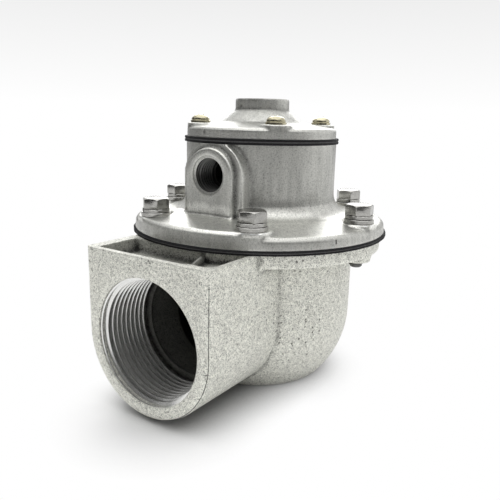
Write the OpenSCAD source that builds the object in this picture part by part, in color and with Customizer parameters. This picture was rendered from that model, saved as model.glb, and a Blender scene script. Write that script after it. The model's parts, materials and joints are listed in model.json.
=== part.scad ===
// Two stage pulse valve with a right angle cast body, in millimetres, +Z up.
// The origin is the middle of the bottom port's mouth. The side port and the vent look along -Y.

/* [Body] */
// Height of the face that the main diaphragm lies on
seal_z = 62; // [60:0.5:70]
// Radius of the body flange
flange_r = 52.5; // [52:0.5:54]
// Thickness of the body flange
flange_t = 5.6; // [4:0.2:7]
// How far the body flange stands out past the bell
flange_out = 11.5; // [10.5:0.5:12]
// Height of the bell's ball shaped end
bell_round_h = 28.3; // [27:0.1:29]
// Wall of the casting
wall = 4.5; // [3.5:0.5:5]

/* [Large ports] */
// Radius at the bottom of the port thread
port_r = 23.9; // [23:0.1:24]
// Length of the port thread
port_thread_l = 25.4; // [22:0.2:28]
// Radius of the side port's chamfered mouth
mouth_r = 24.6; // [24.2:0.1:24.8]
// Distance of the side port's face from the valve's axis
side_y = 72.7; // [70:0.1:80]
// Height of the side port's centre
side_z = 30.4; // [29.5:0.1:31.5]
// Bore behind the side port's thread
side_bore_r = 22.2; // [20:0.2:22.4]
// Half of the port block's width
block_w = 29; // [28.5:0.1:30]
// Rounding of the port block's front edge
block_edge = 2.2; // [1:0.1:3]
// Depth of the open pocket in the top of the port block
pocket_d = 5.2; // [4.5:0.1:5.4]

/* [Seat] */
// Bore of the seat tube
seat_bore_r = 20; // [18:0.5:20.5]
// Outer radius of the seat tube
seat_out_r = 24; // [23:0.5:25]
// Distance from the diaphragm's face down to the seat
seat_drop = 2.4; // [1.5:0.1:4]

/* [Main diaphragm] */
// How far the main diaphragm stands out past the bonnet's flange
main_out = 0.9; // [0:0.1:1.5]
// Thickness of the main diaphragm
main_t = 1.7; // [1.2:0.1:2.4]
// Distance from the flat middle's edge in to the edge of the upper plate
upper_plate_in = 3; // [1:0.5:5]
// Radius of the lower plate
lower_plate_r = 18.4; // [17:0.2:19]
// Thickness of both plates
plate_t = 1.5; // [1:0.1:2]
// Radius of the centre bolt
centre_bolt_r = 4; // [3:0.5:4]
// Width of the centre bolt's head and nut across the flats
centre_flats = 13; // [11:1:13]
// Height of the centre bolt's head
centre_head_h = 4.6; // [4:0.1:6]
// Height of the centre nut
centre_nut_h = 4; // [3:0.5:5]
// Radius of the small hole that fills the chamber above the diaphragm
bleed_r = 1; // [0.6:0.1:1.5]
// Middle radius of the main spring
main_spring_r = 12; // [11:0.5:14]
// Wire radius of the main spring
main_wire_r = 0.8; // [0.6:0.1:0.8]

/* [Bonnet] */
// How far the bonnet's flange stands out past the body flange
bonnet_out = 1.5; // [1:0.1:2.5]
// Thickness of the bonnet's flange at its rim
bonnet_rim_t = 4.4; // [4:0.1:5]
// Height of the bolt pads above the bonnet's underside
pad_h = 6.2; // [6:0.1:7]
// Radius of the upper housing
house_r = 31.9; // [31:0.1:33]
// Height of the housing's top face above the bonnet's underside
house_h = 35.6; // [34:0.1:40]
// Radius of the curve between the flange and the housing
flare_r = 7.6; // [6:0.1:8]
// Distance from the cover screws' centres in to the chamber under the pilot diaphragm
vent_chamber_in = 4.7; // [4.7:0.1:6]
// Bore of the pilot nozzle
nozzle_bore_r = 5; // [4.8:0.1:5.5]
// Outer radius of the pilot nozzle
nozzle_r = 8; // [7:0.5:9]

/* [Vent] */
// How far the vent's flat face stands out past the housing
vent_out = 4.9; // [4.1:0.1:6]
// Height of the vent hole above the bonnet's underside
vent_h = 23.8; // [23:0.1:25]
// Radius at the bottom of the vent thread
vent_r = 6.58; // [6:0.02:6.6]
// Radius of the vent's chamfered mouth
vent_mouth_r = 7.4; // [7:0.1:7.6]
// Half of the flat face's width
vent_face_w = 11; // [10.5:0.1:11.5]
// Half of the wider step behind the flat face
vent_step_w = 14.2; // [13.5:0.1:14.5]
// Length of the vent's thread
vent_thread_l = 11; // [10:0.5:12]

/* [Pilot diaphragm] */
// How far the pilot diaphragm stands out past the housing
pilot_out = 1; // [0.2:0.1:2]
// Thickness of the pilot diaphragm at its rim
pilot_t = 2.2; // [1.8:0.1:2.4]
// Thickness of the pilot diaphragm at its middle
pilot_mid_t = 1.4; // [1:0.1:1.6]
// Distance from the rim's underside down to the pilot nozzle
pilot_drop = 1.2; // [1:0.1:1.5]
// Radius of the pilot plate
pilot_plate_r = 10.5; // [10:0.5:11]
// Middle radius of the pilot spring
pilot_spring_r = 7.8; // [7.5:0.1:8]
// Wire radius of the pilot spring
pilot_wire_r = 0.45; // [0.3:0.05:0.45]

/* [Pilot cover] */
// How far the cover's edge stays inside the housing's edge
cover_in = 0.3; // [0:0.1:0.5]
// Height of the cover's rim
cover_rim_h = 3.7; // [3.5:0.1:4]
// Height of the screw pads above the cover's underside
cover_pad_h = 5.5; // [5.3:0.1:6]
// Total height of the cover
cover_h = 15.5; // [15:0.1:18]
// Radius of the cover's round boss
boss_r = 11.35; // [11:0.05:12]
// Radius at the bottom of the pilot port's thread
pilot_port_r = 6.58; // [6:0.02:6.6]

/* [Fasteners] */
// Distance from the body flange's edge in to the bolt circle
bolt_circle_in = 5.5; // [5.3:0.1:6]
// Radius of the bolts
bolt_r = 3; // [2.5:0.5:3]
// Length of a bolt under its head
bolt_l = 21.2; // [20.5:0.1:23]
// Width of the bolt head across the flats
bolt_flats = 10; // [8:1:10]
// Height of the bolt head
bolt_head_h = 4.1; // [3.5:0.1:4.5]
// Outer radius of the bolt's plain washer
bolt_washer_r = 6; // [5.5:0.1:6.2]
// Thickness of the plain washer and of the spring washer
bolt_washer_t = 1.6; // [1:0.1:1.6]
// Outer radius of the spring washer
spring_washer_r = 5.6; // [5:0.1:5.9]
// Distance from the housing's edge in to the circle of cover screws
screw_circle_in = 5.7; // [5.4:0.1:5.9]
// Radius of the cover screws
screw_r = 2; // [1.5:0.5:2]
// Length of a cover screw under its head
screw_l = 16; // [14:0.5:18]
// Radius of the screw head
screw_head_r = 3.8; // [3.5:0.1:4]
// Height of the screw head
screw_head_h = 2.5; // [2.2:0.1:2.7]
// Thickness of the screw's washer
screw_washer_t = 0.9; // [0.5:0.1:1]

/* [Hidden] */
$fn = 96;
eps = 0.01;
hole_gap = 0.3;
bolt_count = 6;
screw_count = 4;
bolt_step = 360 / bolt_count;
screw_step = 360 / screw_count;
lug_r = 5.7;
lug_drop = 2.3;
bolt_hole_depth = 20;
thread_fit = 0.05;
plate_fit = 0.1;
casting_draft = 0.3;
bell_r = flange_r - flange_out;
bonnet_r = flange_r + bonnet_out;
main_r = bonnet_r + main_out;
bolt_circle_r = flange_r - bolt_circle_in;
pilot_r = house_r + pilot_out;
cover_r = house_r - cover_in;
screw_circle_r = house_r - screw_circle_in;
vent_chamber_r = screw_circle_r - vent_chamber_in;
vent_y = house_r + vent_out;
bonnet_z = seal_z + main_t;
pad_z = bonnet_z + pad_h;
house_z = bonnet_z + house_h;
cover_z = house_z + pilot_t;
cover_pad_z = cover_z + cover_pad_h;
top_z = cover_z + cover_h;
vent_z = bonnet_z + vent_h;
seat_z = seal_z - seat_drop;
nozzle_z = house_z - pilot_drop;
main_chamber_h = 14.8;
ceiling_z = bonnet_z + main_chamber_h;
vent_floor_t = 3.5;
vent_floor_z = ceiling_z + vent_floor_t;
upper_plate_z = seat_z + main_t;
spring_foot_z = upper_plate_z + plate_t;
pilot_top_z = nozzle_z + pilot_mid_t;
pilot_plate_t = 1.2;
pilot_spring_z = pilot_top_z + pilot_plate_t;
spring_pocket_r = pilot_spring_r + 1.2;
spring_pocket_d = 6;
spring_pocket_z = cover_z + spring_pocket_d;
centre_hole_r = centre_bolt_r + hole_gap;
rivet_r = 1.7;
bolt_seat_z = pad_z + 2 * bolt_washer_t;
screw_seat_z = cover_pad_z + screw_washer_t;

// Bolts sit 30 degrees to each side of the side port, then every 60 degrees.
module at_bolt(i) {
    rotate([0, 0, bolt_step * (i - 0.5)]) {
        translate([0, -bolt_circle_r, 0]) {
            children();
        }
    }
}

// Cover screws sit 45 degrees to each side of the side port, then every 90 degrees.
module at_screw(i) {
    rotate([0, 0, screw_step * (i - 0.5)]) {
        translate([0, -screw_circle_r, 0]) {
            children();
        }
    }
}

// A cylinder that runs from one height to another.
module column(r, z0, z1) {
    translate([0, 0, z0]) {
        cylinder(r = r, h = z1 - z0);
    }
}

// A cylinder along Y at the height z, from y0 to y1.
module bore_y(r, z, y0, y1) {
    translate([0, y1, z]) {
        rotate([90, 0, 0]) {
            cylinder(r = r, h = y1 - y0);
        }
    }
}

// A flat ring.
module ring(r_out, r_in, z0, h) {
    difference() {
        column(r_out, z0, z0 + h);
        column(r_in, z0 - 1, z0 + h + 1);
    }
}

// A plan shape drawn in X and Z, pushed along Y from y0 to y1.
module along_y(y0, y1) {
    translate([0, y1, 0]) {
        rotate([90, 0, 0]) {
            linear_extrude(height = y1 - y0) {
                children();
            }
        }
    }
}

// An upright round wall that ends in a ball shape, cut flat at z0.
module bell(r, z0, z1) {
    column(r, bell_round_h, z1);
    intersection() {
        translate([0, 0, bell_round_h]) {
            sphere(r = r);
        }
        column(r + 1, z0, bell_round_h);
    }
}

// Chamber around the seat tube, open towards the diaphragm.
chamber_floor_z = 9;
thread_wall = 4;
thread_wall_r = port_r + thread_wall;
thread_wall_z = port_thread_l + 1;
chamber_r = bell_r - wall;

module chamber() {
    difference() {
        bell(chamber_r, chamber_floor_z, seal_z + 1);
        column(thread_wall_r, 0, thread_wall_z);
        translate([0, 0, thread_wall_z]) {
            cylinder(r1 = thread_wall_r, r2 = seat_out_r, h = thread_wall_r - seat_out_r);
        }
        column(seat_out_r, 0, seal_z + 2);
    }
}

// Port block: straight sides above the port's centre, a half round below it.
block_back_y = -26;
side_bore_end_y = -28.5;
port_edge_y = -side_y + block_edge;

module block_upper() {
    translate([0, 0, side_z]) {
        linear_extrude(height = seal_z - side_z) {
            translate([-block_w, port_edge_y]) {
                square([2 * block_w, block_back_y - port_edge_y]);
            }
            translate([block_edge - block_w, -side_y]) {
                square([2 * (block_w - block_edge), block_edge + eps]);
            }
            for (side = [-1, 1]) {
                translate([side * (block_w - block_edge), port_edge_y]) {
                    circle(r = block_edge);
                }
            }
        }
    }
}

module block_lower() {
    translate([0, 0, side_z]) {
        rotate([90, 0, 0]) {
            rotate([0, 0, 180]) {
                rotate_extrude(angle = 180) {
                    translate([0, -block_back_y]) {
                        square([block_w, block_back_y - port_edge_y]);
                    }
                    translate([0, -port_edge_y - eps]) {
                        square([block_w - block_edge, block_edge + eps]);
                    }
                    intersection() {
                        translate([block_w - block_edge, -port_edge_y]) {
                            circle(r = block_edge);
                        }
                        translate([0, -block_back_y]) {
                            square([block_w + 1, side_y]);
                        }
                    }
                }
            }
        }
    }
}

// Pocket cast into the block's top; its right side runs slantwise.
pocket_left = -24.4;
pocket_wall = 2.3;
pocket_front = -side_y + pocket_wall;
pocket_back = -51;
pocket_right_front = 17;
pocket_right_back = 8.5;

module pocket() {
    translate([0, 0, seal_z - pocket_d]) {
        linear_extrude(height = pocket_d + 1) {
            polygon([
                [pocket_left, pocket_front],
                [pocket_right_front, pocket_front],
                [pocket_right_back, pocket_back],
                [pocket_left, pocket_back],
            ]);
        }
    }
}

// Threaded port: straight bore at the thread's major radius with a chamfered mouth.
module port_cut(r, mouth, length) {
    translate([0, 0, -1]) {
        cylinder(r = r, h = length + 1);
    }
    translate([0, 0, -eps]) {
        cylinder(r1 = mouth, r2 = r - eps, h = mouth - r + 2 * eps);
    }
}

module valve_body() {
    color([0.72, 0.72, 0.70])
    difference() {
        union() {
            bell(bell_r, 0, seal_z - flange_t + 1);
            column(flange_r, seal_z - flange_t, seal_z);
            block_upper();
            block_lower();
            for (i = [1 : bolt_count]) {
                at_bolt(i) {
                    column(lug_r, seal_z - flange_t - lug_drop, seal_z);
                }
            }
        }
        chamber();
        column(seat_bore_r, port_thread_l - 1, seal_z + 1);
        ring(chamber_r - 1, 0, seat_z, seal_z - seat_z + 1);
        column(port_r, -1, port_thread_l);
        translate([0, -side_y, side_z]) {
            rotate([-90, 0, 0]) {
                port_cut(port_r, mouth_r, port_thread_l);
            }
        }
        bore_y(side_bore_r, side_z, port_thread_l - side_y - 1, side_bore_end_y);
        pocket();
        for (i = [1 : bolt_count]) {
            at_bolt(i) {
                column(bolt_r + thread_fit, seal_z - bolt_hole_depth, seal_z + 1);
            }
        }
    }
}

// Main diaphragm: clamped at its rim, dished down to the seat.
main_roll_w = 9;
main_roll_r = chamber_r - 0.5;
main_flat_r = main_roll_r - main_roll_w;
upper_plate_r = main_flat_r - upper_plate_in;

module main_diaphragm() {
    color([0.06, 0.06, 0.06])
    difference() {
        rotate_extrude() {
            polygon([
                [centre_hole_r, seat_z],
                [main_flat_r, seat_z],
                [main_roll_r, seal_z],
                [main_r, seal_z],
                [main_r, bonnet_z],
                [main_roll_r, bonnet_z],
                [main_flat_r, upper_plate_z],
                [centre_hole_r, upper_plate_z],
            ]);
        }
        for (i = [1 : bolt_count]) {
            at_bolt(i) {
                column(bolt_r + hole_gap, seal_z - 1, bonnet_z + 1);
            }
        }
        rotate([0, 0, 180]) {
            translate([0, -(main_flat_r + main_roll_r) / 2, 0]) {
                column(bleed_r, seat_z - 1, bonnet_z + 1);
            }
        }
    }
}

module main_plate_upper() {
    color([0.75, 0.75, 0.76])
    ring(upper_plate_r, centre_bolt_r + plate_fit, upper_plate_z, plate_t);
}

module main_plate_lower() {
    color([0.75, 0.75, 0.76])
    ring(lower_plate_r, centre_bolt_r + plate_fit, seat_z - plate_t, plate_t);
}

// A hexagonal prism, given across its flats.
module hexagon(flats, z0, z1) {
    translate([0, 0, z0]) {
        cylinder(r = flats / 2 / cos(30), h = z1 - z0, $fn = 6);
    }
}

centre_bolt_tip = 1.5;

module centre_bolt() {
    color([0.78, 0.78, 0.80])
    union() {
        column(centre_bolt_r, seat_z - plate_t - 1, spring_foot_z + centre_nut_h + centre_bolt_tip);
        hexagon(centre_flats, seat_z - plate_t - centre_head_h, seat_z - plate_t);
    }
}

module centre_nut() {
    color([0.78, 0.78, 0.80])
    difference() {
        hexagon(centre_flats, spring_foot_z, spring_foot_z + centre_nut_h);
        column(centre_bolt_r + thread_fit, spring_foot_z - 1, spring_foot_z + centre_nut_h + 1);
    }
}

// Coil spring between two heights, its wire swept along a helix.
module coil(r, wire, z0, z1, turns) {
    per_turn = 20;
    sides = 8;
    steps = per_turn * turns;
    rise = (z1 - z0 - 2 * wire) / steps;
    points = [
        for (i = [0 : steps])
        for (k = [0 : sides - 1])
        let (a = 360 * i / per_turn, b = 360 * k / sides, d = r + wire * cos(b))
        [d * cos(a), d * sin(a), z0 + wire + rise * i + wire * sin(b)]
    ];
    sides_of_wire = [
        for (i = [0 : steps - 1])
        for (k = [0 : sides - 1])
        let (n = (k + 1) % sides, p = i * sides, q = p + sides)
        each [[p + k, p + n, q + n], [p + k, q + n, q + k]]
    ];
    first_end = [for (k = [sides - 1 : -1 : 0]) k];
    last_end = [for (k = [0 : sides - 1]) steps * sides + k];
    polyhedron(points, concat(sides_of_wire, [first_end], [last_end]));
}

module main_spring() {
    color([0.70, 0.70, 0.72])
    coil(main_spring_r, main_wire_r, spring_foot_z, ceiling_z, 4);
}

// Bonnet: flange and housing drawn as one outline and turned round the axis.
slope_r = house_r + flare_r;
slope_h = 7.2;
slope_z = bonnet_z + slope_h;
bonnet_edge = 1.2;
bonnet_top_r = bonnet_r - casting_draft;

module bonnet_outline() {
    polygon([
        [0, bonnet_z],
        [bonnet_r, bonnet_z],
        [bonnet_top_r, bonnet_z + bonnet_rim_t - bonnet_edge],
        [bonnet_top_r - bonnet_edge, bonnet_z + bonnet_rim_t],
        [slope_r, slope_z],
        [house_r, slope_z],
        [house_r, house_z],
        [0, house_z],
    ]);
    difference() {
        translate([house_r - 1, slope_z - 1]) {
            square([flare_r + 1, flare_r + 1]);
        }
        translate([slope_r, slope_z + flare_r]) {
            circle(r = flare_r);
        }
    }
}

// Thicker part of the flange between the two bolts beside the side port.
raised_half = 34;
raised_in_r = house_r + 4.1;
raised_rise = 2;

module bonnet_raised() {
    rotate([0, 0, -90 - raised_half]) {
        rotate_extrude(angle = 2 * raised_half) {
            polygon([
                [raised_in_r, bonnet_z],
                [bonnet_r, bonnet_z],
                [bonnet_top_r, pad_z - bonnet_edge],
                [bonnet_top_r - bonnet_edge, pad_z],
                [raised_in_r, pad_z + raised_rise],
            ]);
        }
    }
}

// Main chamber above the diaphragm: wide at the diaphragm, narrower under its ceiling.
main_chamber_r = chamber_r + 0.5;
main_chamber_side = 2.3;
housing_wall = 4.4;
ceiling_r = house_r - housing_wall;
ceiling_side = 10.5;

module main_chamber_outline() {
    polygon([
        [0, bonnet_z - 1],
        [main_chamber_r, bonnet_z - 1],
        [main_chamber_r, bonnet_z + main_chamber_side],
        [ceiling_r, bonnet_z + ceiling_side],
        [ceiling_r, ceiling_z],
        [0, ceiling_z],
    ]);
}

// Vent boss: a wide arched step with a narrower arched flat on it.
vent_step_d = 2.6;
vent_step_low = 1.3;
vent_face_low = 0.5;
vent_root_y = -20;
vent_passage_r = 5.6;
bonnet_pad_r = 7.2;
washer_room = 0.6;
screw_hole_rest = 1.5;

module arch(w, centre, y0, y1) {
    along_y(y0, y1) {
        translate([0, centre]) {
            circle(r = w);
        }
        translate([-w, pad_z - 3]) {
            square([2 * w, centre - pad_z + 3]);
        }
    }
}

module bonnet() {
    color([0.70, 0.70, 0.69])
    difference() {
        union() {
            rotate_extrude() {
                bonnet_outline();
            }
            bonnet_raised();
            intersection() {
                column(bonnet_top_r, bonnet_z, pad_z);
                for (i = [1 : bolt_count]) {
                    at_bolt(i) {
                        column(bonnet_pad_r, bonnet_z, pad_z);
                    }
                }
            }
            intersection() {
                union() {
                    arch(vent_step_w, vent_z - vent_step_low, -vent_y + vent_step_d, vent_root_y);
                    arch(vent_face_w, vent_z - vent_face_low, -vent_y, vent_root_y);
                }
                column(bonnet_r, bonnet_z, house_z);
            }
        }
        rotate_extrude() {
            main_chamber_outline();
        }
        difference() {
            column(vent_chamber_r, vent_floor_z, house_z + 1);
            column(nozzle_r, vent_floor_z - 1, nozzle_z);
        }
        column(nozzle_bore_r, ceiling_z - 1, house_z + 1);
        translate([0, -vent_y, vent_z]) {
            rotate([-90, 0, 0]) {
                port_cut(vent_r, vent_mouth_r, vent_thread_l);
            }
        }
        bore_y(vent_passage_r, vent_z, vent_thread_l - vent_y - 1, -vent_chamber_r + 3);
        for (i = [1 : bolt_count]) {
            at_bolt(i) {
                column(bolt_r + hole_gap, bonnet_z - 1, pad_z + 1);
                column(bolt_washer_r + washer_room, pad_z, bolt_seat_z + bolt_head_h);
            }
        }
        for (i = [1 : screw_count]) {
            at_screw(i) {
                column(screw_r + thread_fit, screw_seat_z - screw_l - screw_hole_rest, house_z + 1);
            }
        }
    }
}

// Pilot diaphragm: clamped at its rim, dished down to the nozzle.
pilot_flat_r = 11.5;
pilot_roll_r = vent_chamber_r - 1.3;

module pilot_diaphragm() {
    color([0.06, 0.06, 0.06])
    difference() {
        rotate_extrude() {
            polygon([
                [rivet_r + hole_gap, nozzle_z],
                [pilot_flat_r, nozzle_z],
                [pilot_roll_r, house_z],
                [pilot_r, house_z],
                [pilot_r, cover_z],
                [vent_chamber_r, cover_z],
                [pilot_flat_r, pilot_top_z],
                [rivet_r + hole_gap, pilot_top_z],
            ]);
        }
        for (i = [1 : screw_count]) {
            at_screw(i) {
                column(screw_r + hole_gap, house_z - 1, cover_z + 1);
            }
        }
    }
}

pilot_washer_r = nozzle_bore_r - 0.7;
pilot_washer_t = 0.8;
rivet_low_r = 3.2;
rivet_top_r = 3;
rivet_head_h = 1;

module pilot_plate() {
    color([0.75, 0.75, 0.76])
    ring(pilot_plate_r, rivet_r + thread_fit, pilot_top_z, pilot_plate_t);
}

module pilot_washer() {
    color([0.75, 0.75, 0.76])
    ring(pilot_washer_r, rivet_r + thread_fit, nozzle_z - pilot_washer_t, pilot_washer_t);
}

module pilot_rivet() {
    color([0.78, 0.70, 0.45])
    union() {
        column(rivet_r, nozzle_z - pilot_washer_t - rivet_head_h / 2, pilot_spring_z + rivet_head_h / 2);
        column(rivet_low_r, nozzle_z - pilot_washer_t - rivet_head_h, nozzle_z - pilot_washer_t);
        column(rivet_top_r, pilot_spring_z, pilot_spring_z + rivet_head_h);
    }
}

module pilot_spring() {
    color([0.70, 0.70, 0.72])
    coil(pilot_spring_r, pilot_wire_r, pilot_spring_z, spring_pocket_z, 3);
}

// Pilot cover: sloping top, cone and round boss in one outline.
cone_r = 17.2;
cone_h = 6.1;
boss_low_h = 11;
cone_z = cover_z + cone_h;
boss_z = cover_z + boss_low_h;
cover_edge_in = 0.9;
boss_edge = 0.5;
cover_pad_r = 6;
cover_room_d = 3.4;
head_room_r = 4.6;
pilot_mouth = 0.6;

module cover_outline() {
    polygon([
        [0, cover_z],
        [cover_r, cover_z],
        [cover_r, cover_z + cover_rim_h - casting_draft * 2],
        [cover_r - cover_edge_in, cover_z + cover_rim_h + casting_draft],
        [cone_r, cone_z],
        [boss_r, boss_z],
        [boss_r, top_z - boss_edge],
        [boss_r - boss_edge, top_z],
        [0, top_z],
    ]);
}

module pilot_cover() {
    color([0.70, 0.70, 0.69])
    difference() {
        union() {
            rotate_extrude() {
                cover_outline();
            }
            intersection() {
                column(cover_r - 0.1, cover_z, cover_pad_z);
                for (i = [1 : screw_count]) {
                    at_screw(i) {
                        column(cover_pad_r, cover_z, cover_pad_z);
                    }
                }
            }
        }
        column(vent_chamber_r, cover_z - 1, cover_z + cover_room_d);
        column(spring_pocket_r, cover_z + cover_room_d - 1, spring_pocket_z);
        translate([0, 0, top_z]) {
            mirror([0, 0, 1]) {
                port_cut(pilot_port_r, pilot_port_r + pilot_mouth, top_z - spring_pocket_z + 1);
            }
        }
        for (i = [1 : screw_count]) {
            at_screw(i) {
                column(screw_r + hole_gap, cover_z - 1, top_z);
                column(head_room_r, cover_pad_z, top_z);
            }
        }
    }
}

shank_fit = 0.02;

module hex_bolt(i) {
    color([0.80, 0.80, 0.78])
    at_bolt(i) {
        union() {
            column(bolt_r - shank_fit, bolt_seat_z - bolt_l, bolt_seat_z + 1);
            hexagon(bolt_flats, bolt_seat_z, bolt_seat_z + bolt_head_h);
        }
    }
}

spring_washer_fit = 0.15;
spring_washer_slit = 0.4;

module spring_washer(i) {
    color([0.80, 0.80, 0.78])
    at_bolt(i) {
        difference() {
            ring(spring_washer_r, bolt_r + spring_washer_fit, pad_z + bolt_washer_t, bolt_washer_t);
            translate([0, -spring_washer_slit / 2, pad_z + bolt_washer_t - 1]) {
                cube([spring_washer_r + 1, spring_washer_slit, bolt_washer_t + 2]);
            }
        }
    }
}

plain_washer_fit = 0.2;

module plain_washer(i) {
    color([0.80, 0.80, 0.78])
    at_bolt(i) {
        ring(bolt_washer_r, bolt_r + plain_washer_fit, pad_z, bolt_washer_t);
    }
}

// Screw with a low domed head and a cross recess.
dome_rise = 1.3;
recess_l = 4.4;
recess_w = 0.9;
recess_d = 1.5;
recess_turn = 20;
screw_washer_r = 4.1;
dome_r = (screw_head_r * screw_head_r + dome_rise * dome_rise) / (2 * dome_rise);

module cover_screw(i) {
    color([0.72, 0.66, 0.42])
    at_screw(i) {
        difference() {
            union() {
                column(screw_r - shank_fit, screw_seat_z - screw_l, screw_seat_z + 1);
                intersection() {
                    column(screw_head_r, screw_seat_z, screw_seat_z + screw_head_h);
                    translate([0, 0, screw_seat_z + screw_head_h - dome_r]) {
                        sphere(r = dome_r);
                    }
                }
            }
            for (turn = [0, 90]) {
                rotate([0, 0, turn + recess_turn]) {
                    translate([-recess_l / 2, -recess_w / 2, screw_seat_z + screw_head_h - recess_d]) {
                        cube([recess_l, recess_w, recess_d + 1]);
                    }
                }
            }
        }
    }
}

module screw_washer(i) {
    color([0.72, 0.66, 0.42])
    at_screw(i) {
        ring(screw_washer_r, screw_r + spring_washer_fit, cover_pad_z, screw_washer_t);
    }
}

valve_body();
main_diaphragm();
main_plate_upper();
main_plate_lower();
centre_bolt();
centre_nut();
main_spring();
bonnet();
pilot_diaphragm();
pilot_plate();
pilot_washer();
pilot_rivet();
pilot_spring();
pilot_cover();
hex_bolt(1);  // hex_bolt_1
hex_bolt(2);  // hex_bolt_2
hex_bolt(3);  // hex_bolt_3
hex_bolt(4);  // hex_bolt_4
hex_bolt(5);  // hex_bolt_5
hex_bolt(6);  // hex_bolt_6
spring_washer(1);  // spring_washer_1
spring_washer(2);  // spring_washer_2
spring_washer(3);  // spring_washer_3
spring_washer(4);  // spring_washer_4
spring_washer(5);  // spring_washer_5
spring_washer(6);  // spring_washer_6
plain_washer(1);  // plain_washer_1
plain_washer(2);  // plain_washer_2
plain_washer(3);  // plain_washer_3
plain_washer(4);  // plain_washer_4
plain_washer(5);  // plain_washer_5
plain_washer(6);  // plain_washer_6
cover_screw(1);  // cover_screw_1
cover_screw(2);  // cover_screw_2
cover_screw(3);  // cover_screw_3
cover_screw(4);  // cover_screw_4
screw_washer(1);  // screw_washer_1
screw_washer(2);  // screw_washer_2
screw_washer(3);  // screw_washer_3
screw_washer(4);  // screw_washer_4
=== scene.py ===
"""Looks of a cast right angle pulse valve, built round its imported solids. Lengths are in metres."""
import functools
import json
import math

import bmesh
import bpy
import numpy as np
from mathutils import Matrix, Vector


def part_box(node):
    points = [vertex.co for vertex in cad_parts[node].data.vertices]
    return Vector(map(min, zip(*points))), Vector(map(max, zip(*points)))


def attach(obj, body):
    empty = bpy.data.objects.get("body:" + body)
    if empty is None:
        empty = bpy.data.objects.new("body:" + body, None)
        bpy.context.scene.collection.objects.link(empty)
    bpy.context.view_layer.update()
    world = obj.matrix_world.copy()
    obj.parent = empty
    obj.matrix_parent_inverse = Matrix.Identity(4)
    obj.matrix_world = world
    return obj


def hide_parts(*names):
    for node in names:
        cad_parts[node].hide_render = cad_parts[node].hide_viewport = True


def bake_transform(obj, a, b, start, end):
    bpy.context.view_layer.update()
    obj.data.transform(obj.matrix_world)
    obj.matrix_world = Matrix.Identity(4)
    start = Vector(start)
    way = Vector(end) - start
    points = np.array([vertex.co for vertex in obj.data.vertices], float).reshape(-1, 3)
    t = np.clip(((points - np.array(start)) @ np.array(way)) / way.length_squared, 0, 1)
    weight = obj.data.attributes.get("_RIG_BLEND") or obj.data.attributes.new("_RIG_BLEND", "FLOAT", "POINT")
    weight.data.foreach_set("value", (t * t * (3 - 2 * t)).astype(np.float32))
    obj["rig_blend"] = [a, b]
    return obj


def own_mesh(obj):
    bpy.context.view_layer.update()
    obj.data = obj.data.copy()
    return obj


bl_info = {
    "name": "Pulse valve",
    "version": (1, 0, 0),
    "blender": (4, 5, 0),
    "location": "3D View > Sidebar > Valve",
    "description": "Dresses a cast pulse valve: castings, port threads, diaphragms, bolts and screws",
    "category": "Object",
}

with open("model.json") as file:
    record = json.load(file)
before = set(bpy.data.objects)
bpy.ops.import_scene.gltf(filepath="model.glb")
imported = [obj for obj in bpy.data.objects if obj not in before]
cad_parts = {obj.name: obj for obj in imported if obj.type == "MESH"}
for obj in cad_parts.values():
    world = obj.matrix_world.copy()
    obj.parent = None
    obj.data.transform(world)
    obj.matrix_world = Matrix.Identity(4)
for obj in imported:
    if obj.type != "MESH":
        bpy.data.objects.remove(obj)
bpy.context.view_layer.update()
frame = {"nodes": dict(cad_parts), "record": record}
MM = 0.001
MOUNTS = {m["name"]: m for m in frame["record"]["mounts"]}
STATIC = "valve"
MAIN = "main_valve"
PILOT = "pilot_valve"
HEX_BOLTS = [f"hex_bolt_{k}" for k in range(1, 7)]
SPRING_WASHERS = [f"spring_washer_{k}" for k in range(1, 7)]
PLAIN_WASHERS = [f"plain_washer_{k}" for k in range(1, 7)]
COVER_SCREWS = [f"cover_screw_{k}" for k in range(1, 5)]
SCREW_WASHERS = [f"screw_washer_{k}" for k in range(1, 5)]


def levels(node):
    """Heights of a solid's underside and top."""
    low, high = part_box(node)
    return low[2], high[2]


def middles(nodes):
    """The places of solids in the plan."""
    boxes = [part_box(node) for node in nodes]
    return [((low[0] + high[0]) / 2, (low[1] + high[1]) / 2) for low, high in boxes]


def port_size(port):
    """Radius and depth of a port's hole."""
    dims = MOUNTS[port]["dims"]
    return dims["r_mm"] * MM, dims["length_mm"] * MM


def port_frame(port):
    """Matrix of a port: its Z runs from the mouth into the hole."""
    inwards = Vector([-a for a in MOUNTS[port]["axis"]])
    turn = Vector((0, 0, 1)).rotation_difference(inwards).to_matrix().to_4x4()
    return Matrix.Translation(MOUNTS[port]["pos_m"]) @ turn


# Sizes and colours that a user would change

def length(name, text, value):
    """A property that holds a length."""
    return bpy.props.FloatProperty(
        name=name, description=text, default=value, unit="LENGTH", precision=6, min=0.0
    )


def colour(name, text, value):
    """A property that holds a colour."""
    return bpy.props.FloatVectorProperty(
        name=name, description=text, default=value, subtype="COLOR", size=3, min=0.0, max=1.0
    )


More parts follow.
